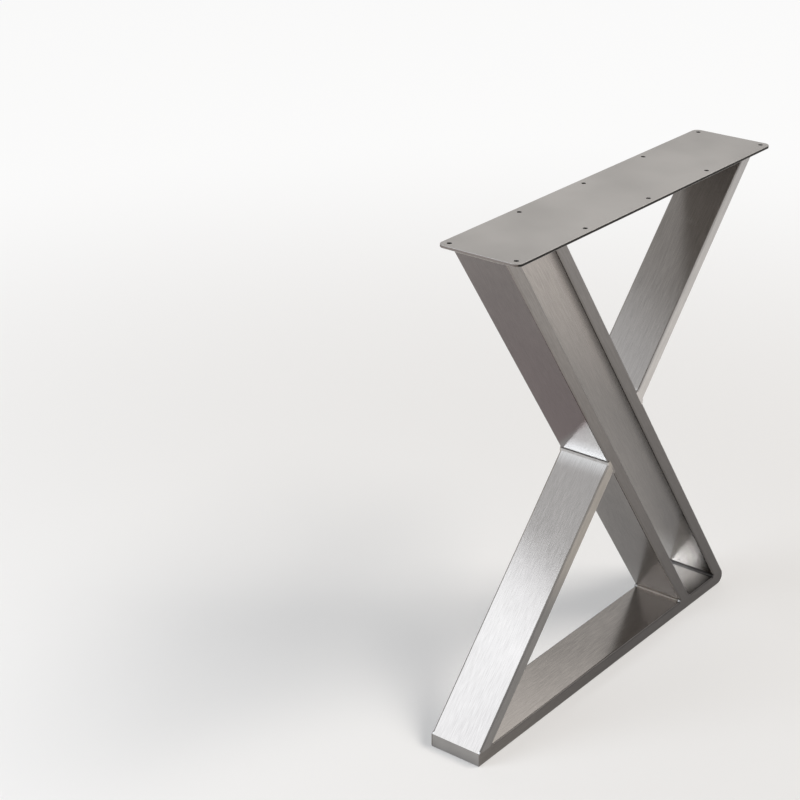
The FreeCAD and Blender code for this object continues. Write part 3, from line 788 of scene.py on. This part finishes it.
def new_bead_tree():
    """An empty tree for a bead with named inputs."""
    tree = bpy.data.node_groups.new("weld_bead", "GeometryNodeTree")
    tree.interface.new_socket("Geometry", in_out="OUTPUT", socket_type="NodeSocketGeometry")
    for label, kind in (
        ("Corner", "NodeSocketVector"),
        ("Carrier Leg", "NodeSocketVector"),
        ("Strut Leg", "NodeSocketVector"),
        ("Length", "NodeSocketFloat"),
        ("Scale Pitch", "NodeSocketFloat"),
        ("Scale Height", "NodeSocketFloat"),
        ("Crown", "NodeSocketFloat"),
        ("Seed", "NodeSocketFloat"),
        ("Material", "NodeSocketMaterial"),
    ):
        tree.interface.new_socket(label, in_out="INPUT", socket_type=kind)
    return tree, tree.nodes.new("NodeGroupInput"), tree.nodes.new("NodeGroupOutput")


def vector_node(tree, operation, first, second=None, scale=None):
    """A vector math node, given back as its output. The scale is a number or a socket."""
    node = add(tree, "ShaderNodeVectorMath", operation=operation)
    feed(tree, node.inputs[0], first)
    feed(tree, node.inputs[1], second)
    if scale is not None:
        feed(tree, node.inputs["Scale"], scale)
    return node.outputs[0]


def arc(tree, share, start, bend, end):
    """A point on the curve from start to end that is pulled towards the bend."""
    outward = blend(tree, "VECTOR", share, start, bend)
    onward = blend(tree, "VECTOR", share, bend, end)
    return blend(tree, "VECTOR", share, outward, onward)


def bead_section(tree, given, around):
    """The step from the corner to the skin at a place round the bead, and its share of the outer arc."""
    outer_share = math_node(tree, "DIVIDE", around, OUTER_SHARE, clamp=True)
    inner_share = math_node(tree, "SUBTRACT", around, OUTER_SHARE)
    inner_share = math_node(tree, "DIVIDE", inner_share, 1 - OUTER_SHARE, clamp=True)
    carrier = given.outputs["Carrier Leg"]
    strut = given.outputs["Strut Leg"]
    both = vector_node(tree, "ADD", carrier, strut)
    bulge = vector_node(tree, "SCALE", both, scale=given.outputs["Crown"])
    sunk = vector_node(tree, "SCALE", both, scale=SUNK)
    outer = arc(tree, outer_share, carrier, bulge, strut)
    inner = arc(tree, inner_share, strut, sunk, carrier)
    is_inner = math_node(tree, "GREATER_THAN", inner_share, 0.0)
    return blend(tree, "VECTOR", is_inner, outer, inner), outer_share


print("the outer arc takes", OUTER_SHARE, "of the way round a bead")

# %% [markdown]
# ## Scales and ends
#
# Three numbers then change the section's size along the bead. The scales swell it in waves that are
# highest on the crest and bow along the bead, as each drop froze behind the torch. A slow noise stands
# for the hand that wavers. At both ends the bead closes like a quarter of a circle, down to a point.

# %% The size of a bead along its length
SCALE_BOW = 0.8
WANDER_SCALE = 120.0
WANDER = 0.35
LEAST_SIZE = 0.82
END_SHARE = 0.05


def bead_scales(tree, given, run, outer_share):
    """How much the scales swell the section: a wave that is highest on the crest."""
    bow = math_node(tree, "MULTIPLY_ADD", outer_share, 2.0, -1.0)
    bow = math_node(tree, "MULTIPLY", bow, bow)
    phase = math_node(tree, "DIVIDE", run, given.outputs["Scale Pitch"])
    phase = math_node(tree, "MULTIPLY_ADD", bow, -SCALE_BOW, phase)
    wave = math_node(tree, "SINE", math_node(tree, "MULTIPLY", phase, math.pi))
    scales = math_node(tree, "ABSOLUTE", wave)
    crest = math_node(tree, "MULTIPLY", outer_share, math_node(tree, "SUBTRACT", 1.0, outer_share))
    rise = math_node(tree, "MULTIPLY", math_node(tree, "MULTIPLY", crest, 4.0), scales)
    return math_node(tree, "MULTIPLY_ADD", rise, given.outputs["Scale Height"], 1.0)


def bead_wander(tree, given, run):
    """A slow change of size along the bead, different for each seed."""
    noise = add(tree, "ShaderNodeTexNoise", noise_dimensions="2D")
    noise.inputs["Scale"].default_value = WANDER_SCALE
    place = add(tree, "ShaderNodeCombineXYZ")
    tree.links.new(run, place.inputs["X"])
    tree.links.new(given.outputs["Seed"], place.inputs["Y"])
    tree.links.new(place.outputs["Vector"], noise.inputs["Vector"])
    return math_node(tree, "MULTIPLY_ADD", noise.outputs[0], WANDER, LEAST_SIZE)


def bead_taper(tree, along):
    """One along the bead, falling to nothing at both ends."""
    from_end = math_node(tree, "MINIMUM", along, math_node(tree, "SUBTRACT", 1.0, along))
    from_end = math_node(tree, "DIVIDE", from_end, END_SHARE, clamp=True)
    taper = math_node(tree, "MULTIPLY", from_end, math_node(tree, "SUBTRACT", 2.0, from_end))
    return math_node(tree, "SQRT", taper)


print("each end closes over", END_SHARE, "of a bead's length")

# %% [markdown]
# ## The tree of a bead
#
# The tree makes the grid, moves each of its points to the corner's line plus the sized section, and
# merges the points where the skin meets itself. It ends in real mesh with its material, because a bead is
# taken out of the tree as plain mesh afterwards.

# %% A Geometry Nodes tree for one bead
BEAD_STEPS = 181
BEAD_SIDES = 13
MERGE_DISTANCE = 0.00001


def build_weld_bead():
    """One bead along Y in the corner between a carrier and a strut."""
    tree, given, result = new_bead_tree()
    grid = add(tree, "GeometryNodeMeshGrid")
    grid.inputs["Size X"].default_value = 1.0
    grid.inputs["Size Y"].default_value = 1.0
    grid.inputs["Vertices X"].default_value = BEAD_STEPS
    grid.inputs["Vertices Y"].default_value = BEAD_SIDES
    flat = add(tree, "ShaderNodeSeparateXYZ")
    tree.links.new(add(tree, "GeometryNodeInputPosition").outputs[0], flat.inputs[0])
    along = math_node(tree, "ADD", flat.outputs["X"], 0.5)
    around = math_node(tree, "ADD", flat.outputs["Y"], 0.5)
    run = math_node(tree, "MULTIPLY", along, given.outputs["Length"])

    section, outer_share = bead_section(tree, given, around)
    scales = bead_scales(tree, given, run, outer_share)
    size = math_node(tree, "MULTIPLY", scales, bead_wander(tree, given, run))
    size = math_node(tree, "MULTIPLY", size, bead_taper(tree, along))
    centred = math_node(tree, "MULTIPLY", math_node(tree, "SUBTRACT", along, 0.5), given.outputs["Length"])
    step = add(tree, "ShaderNodeCombineXYZ")
    tree.links.new(centred, step.inputs["Y"])
    line = vector_node(tree, "ADD", given.outputs["Corner"], step.outputs["Vector"])
    skin = vector_node(tree, "ADD", line, vector_node(tree, "SCALE", section, scale=size))

    bend = add(tree, "GeometryNodeSetPosition")
    tree.links.new(grid.outputs["Mesh"], bend.inputs["Geometry"])
    tree.links.new(skin, bend.inputs["Position"])
    close = add(tree, "GeometryNodeMergeByDistance")
    close.inputs["Distance"].default_value = MERGE_DISTANCE
    smooth = add(tree, "GeometryNodeSetShadeSmooth")
    realize = add(tree, "GeometryNodeRealizeInstances")
    paint = add(tree, "GeometryNodeSetMaterial")
    tree.links.new(given.outputs["Material"], paint.inputs["Material"])
    chain = (bend, close, smooth, realize, paint)
    for before, after in zip(chain, chain[1:]):
        tree.links.new(before.outputs["Geometry"], after.inputs["Geometry"])
    tree.links.new(paint.outputs["Geometry"], result.inputs["Geometry"])
    return tree


bead_tree = build_weld_bead()
print("tree", bead_tree.name, "has", len(bead_tree.nodes), "nodes")

# %% [markdown]
# ## Beads in their corners
#
# A bead is described by its corner and by the two directions in which it climbs: along the carrier and up
# the strut. Each one is evaluated by itself, turned into plain mesh and added to one piece, which rides
# on the leg.

# %% Lay the beads
BEAD_LEG = 0.0033
BEAD_LENGTH = 2 * (TUBE_BROAD / 2 - TUBE_EDGE_RADIUS)
SCALE_PITCH = 0.0021
SCALE_HEIGHT = 0.10
CROWN = 0.78
LONG_STEP = Vector((long_across, 0, 0))
CROSS_STEP = Vector((cross_across, 0, 0))
BUTT_STEP = LONG_UP * butt_across

bead_corners = [
    (left_head, LEVEL_LEFT, -LONG_UP),
    (left_head + LONG_STEP, LEVEL_RIGHT, -LONG_UP),
    (right_head, LEVEL_LEFT, -LONG_UP),
    (right_head + LONG_STEP, LEVEL_RIGHT, -LONG_UP),
    (upper_head, LEVEL_LEFT, -CROSS_UP),
    (upper_head + CROSS_STEP, LEVEL_RIGHT, -CROSS_UP),
    (left_foot, LEVEL_LEFT, LONG_UP),
    (left_foot + LONG_STEP, LEVEL_RIGHT, LONG_UP),
    (lower_foot + CROSS_STEP, LEVEL_RIGHT, CROSS_UP),
    (lower_head - BUTT_STEP, -LONG_UP, -CROSS_UP),
    (upper_foot - BUTT_STEP, -LONG_UP, CROSS_UP),
]


def lay_bead(corner, carrier, strut, seed):
    """The plain mesh of one bead."""
    holder = bpy.data.objects.new("bead_holder", bpy.data.meshes.new("bead_holder"))
    bpy.context.scene.collection.objects.link(holder)
    modifier = holder.modifiers.new("bead", "NODES")
    modifier.node_group = bead_tree
    values = {
        "Corner": corner,
        "Carrier Leg": carrier * BEAD_LEG,
        "Strut Leg": strut * BEAD_LEG,
        "Length": BEAD_LENGTH,
        "Scale Pitch": SCALE_PITCH,
        "Scale Height": SCALE_HEIGHT,
        "Crown": CROWN,
        "Seed": float(seed),
        "Material": bead_material,
    }
    for item in bead_tree.interface.items_tree:
        if item.in_out == "INPUT":
            modifier[item.identifier] = values[item.name]
    mesh = bpy.data.meshes.new_from_object(holder.evaluated_get(bpy.context.evaluated_depsgraph_get()))
    bpy.data.objects.remove(holder)
    return mesh


def make_weld_beads():
    """All beads as one closed mesh with its faces outwards."""
    shell = bmesh.new()
    for seed, (corner, carrier, strut) in enumerate(bead_corners):
        shell.from_mesh(lay_bead(corner, carrier, strut, seed))
    bmesh.ops.recalc_face_normals(shell, faces=shell.faces)
    for face in shell.faces:
        face.smooth = True
    mesh = bpy.data.meshes.new("weld_beads")
    shell.to_mesh(mesh)
    open_edges = sum(not edge.is_manifold for edge in shell.edges)
    shell.free()
    mesh.materials.append(bead_material)
    beads = bpy.data.objects.new("weld_beads", mesh)
    bpy.context.scene.collection.objects.link(beads)
    return beads, open_edges


weld_beads, open_edges = make_weld_beads()
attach(weld_beads, "root")
print("beads:", len(bead_corners), "faces:", len(weld_beads.data.polygons), "open edges:", open_edges)

# %% [markdown]
# ## Floor
#
# A plain pale floor. Close to the leg it is mostly paint, which takes the light and the leg's shadow.
# Further off it turns into a white backdrop, for the eye and for reflections alike, which lights nothing:
# the Light Path node tells which rays come from there. It is not part of the leg.

# %% The floor
FLOOR_REACH = 40.0
FLOOR_PALE = (0.815, 0.797, 0.780, 1)
FLOOR_ROUGHNESS = 0.9
FLOOR_SHINE = 0.1
BACKDROP_START = 0.6
BACKDROP_END = 2.6
BACKDROP_SHARE = 0.90
NEAR_SHARE = 0.30


def seen_directly(tree):
    """One for rays from the eye, and for those that it sees in metal or through glass."""
    rays = add(tree, "ShaderNodeLightPath")
    seen = math_node(tree, "ADD", rays.outputs["Is Camera Ray"], rays.outputs["Is Glossy Ray"])
    return math_node(tree, "ADD", seen, rays.outputs["Is Transmission Ray"], clamp=True)


def floor_paint():
    """Pale paint that turns into a white backdrop with the distance from the leg."""
    material = bpy.data.materials.new("floor_paint")
    material.use_nodes = True
    tree = material.node_tree
    paint = tree.nodes["Principled BSDF"]
    paint.inputs["Base Color"].default_value = FLOOR_PALE
    paint.inputs["Roughness"].default_value = FLOOR_ROUGHNESS
    paint.inputs["Specular IOR Level"].default_value = FLOOR_SHINE
    distance = add(tree, "ShaderNodeVectorMath", operation="LENGTH")
    tree.links.new(add(tree, "ShaderNodeTexCoord").outputs["Object"], distance.inputs[0])
    fade = add(tree, "ShaderNodeMapRange", interpolation_type="SMOOTHSTEP")
    fade.inputs["From Min"].default_value = BACKDROP_START
    fade.inputs["From Max"].default_value = BACKDROP_END
    fade.inputs["To Min"].default_value = NEAR_SHARE
    fade.inputs["To Max"].default_value = BACKDROP_SHARE
    tree.links.new(distance.outputs["Value"], fade.inputs["Value"])
    backdrop = add(tree, "ShaderNodeEmission")
    mixed = add(tree, "ShaderNodeMixShader")
    share = math_node(tree, "MULTIPLY", fade.outputs["Result"], seen_directly(tree))
    tree.links.new(share, mixed.inputs["Fac"])
    tree.links.new(paint.outputs["BSDF"], mixed.inputs[1])
    tree.links.new(backdrop.outputs["Emission"], mixed.inputs[2])
    tree.links.new(mixed.outputs["Shader"], tree.nodes["Material Output"].inputs["Surface"])
    return material


def make_floor():
    """A flat square under the leg."""
    mesh = bpy.data.meshes.new("studio_floor")
    corners = [(-1, -1), (1, -1), (1, 1), (-1, 1)]
    mesh.from_pydata([(x * FLOOR_REACH, y * FLOOR_REACH, 0) for x, y in corners], [], [(0, 1, 2, 3)])
    mesh.materials.append(floor_paint())
    floor = bpy.data.objects.new("studio_floor", mesh)
    bpy.context.scene.collection.objects.link(floor)
    return floor


floor = make_floor()
print("floor is", 2 * FLOOR_REACH, "metres square")

# %% [markdown]
# ## Light
#
# Steel has hardly any colour of its own: what we see in it is the room. So the room is planned face by
# face, as the camera sees them. The plate shows the pale surround. The long struts lean over, so their
# broad faces show the floor just behind the leg. The lower strut leans towards a large panel behind on
# the left, whose upper edge makes it fade from white to grey, and the upper strut shows a dimmer panel
# above that one. A low strip is seen twice over, first in the lower strut and then in the long one, and
# makes the bright corner above their joint. A panel behind on the right and a large softbox in front
# light the rest and the floor. Each light is given as it is seen from the leg: the direction in which it
# stands, and how much of the view it fills.

# %% The surround and the softboxes
SURROUND = 0.6
AMBIENT = 0.2
WHITE = (1, 1, 1, 1)
MIDDLE = Vector((0, 0, 0.35))
DAYLIGHT = (0.91, 0.99, 1.085)
LAMPLIGHT = (1.03, 1.0, 0.96)


def make_surround():
    """A pale surround for the eye and for reflections, and a weaker one as light."""
    world = bpy.data.worlds.new("studio")
    bpy.context.scene.world = world
    world.use_nodes = True
    tree = world.node_tree
    background = tree.nodes["Background"]
    background.inputs["Color"].default_value = WHITE
    strength = math_node(tree, "MULTIPLY_ADD", seen_directly(tree), SURROUND - AMBIENT, AMBIENT)
    tree.links.new(strength, background.inputs["Strength"])


def softbox(name, turn, rise, reach, wide, high, radiance, tint):
    """An even rectangular light that faces the leg. Its direction and size are angles, in degrees."""
    turn = math.radians(turn)
    rise = math.radians(rise)
    away = Vector((math.cos(rise) * math.cos(turn), math.cos(rise) * math.sin(turn), math.sin(rise)))
    light = bpy.data.lights.new(name, "AREA")
    light.shape = "RECTANGLE"
    light.size = reach * math.cos(rise) * math.radians(wide)
    light.size_y = reach * math.radians(high)
    light.energy = radiance * math.pi * light.size * light.size_y
    light.color = tint
    lamp = bpy.data.objects.new(name, light)
    lamp.location = MIDDLE + away * reach
    lamp.rotation_euler = (-away).to_track_quat("-Z", "Y").to_euler()
    lamp.visible_camera = False
    bpy.context.scene.collection.objects.link(lamp)


make_surround()
softbox("low_left_strip", turn=150, rise=7, reach=3.0, wide=30, high=11, radiance=7.0, tint=DAYLIGHT)
softbox("left_back_panel", turn=147, rise=25.5, reach=2.2, wide=40, high=27, radiance=2.64, tint=DAYLIGHT)
softbox("high_left_panel", turn=133, rise=46.5, reach=2.2, wide=30, high=14, radiance=0.72, tint=DAYLIGHT)
softbox("right_back_panel", turn=45, rise=38, reach=4.0, wide=60, high=16, radiance=0.90, tint=LAMPLIGHT)
softbox("front_softbox", turn=298, rise=52, reach=14.0, wide=60, high=18, radiance=11.5, tint=LAMPLIGHT)

# %% [markdown]
# ## Camera
#
# The camera stands to the left in front of the leg and looks down on it, with a long lens, so that the
# struts stay nearly parallel. Its place, aim and roll were found by lining the leg's edges up with a
# photograph.

# %% The camera
CAMERA_PLACE = Vector((-2.0942, -1.3248, 1.5273))
CAMERA_AIM = Vector((-0.4357, 0.0, 0.5620))
CAMERA_ROLL = math.radians(-0.24)
CAMERA_LENS = 89.56
CAMERA_SENSOR = 36.0


def make_camera():
    """A camera at its place, turned to its aim and rolled a little."""
    data = bpy.data.cameras.new("leg_camera")
    data.lens = CAMERA_LENS
    data.sensor_width = CAMERA_SENSOR
    camera = bpy.data.objects.new("leg_camera", data)
    facing = (CAMERA_AIM - CAMERA_PLACE).to_track_quat("-Z", "Y")
    camera.rotation_mode = "QUATERNION"
    camera.rotation_quaternion = facing @ Quaternion((0, 0, 1), CAMERA_ROLL)
    camera.location = CAMERA_PLACE
    bpy.context.scene.collection.objects.link(camera)
    bpy.context.scene.camera = camera


make_camera()
bpy.context.scene.view_settings.view_transform = "Standard"
print("camera is", round((CAMERA_AIM - CAMERA_PLACE).length, 2), "metres from its aim")
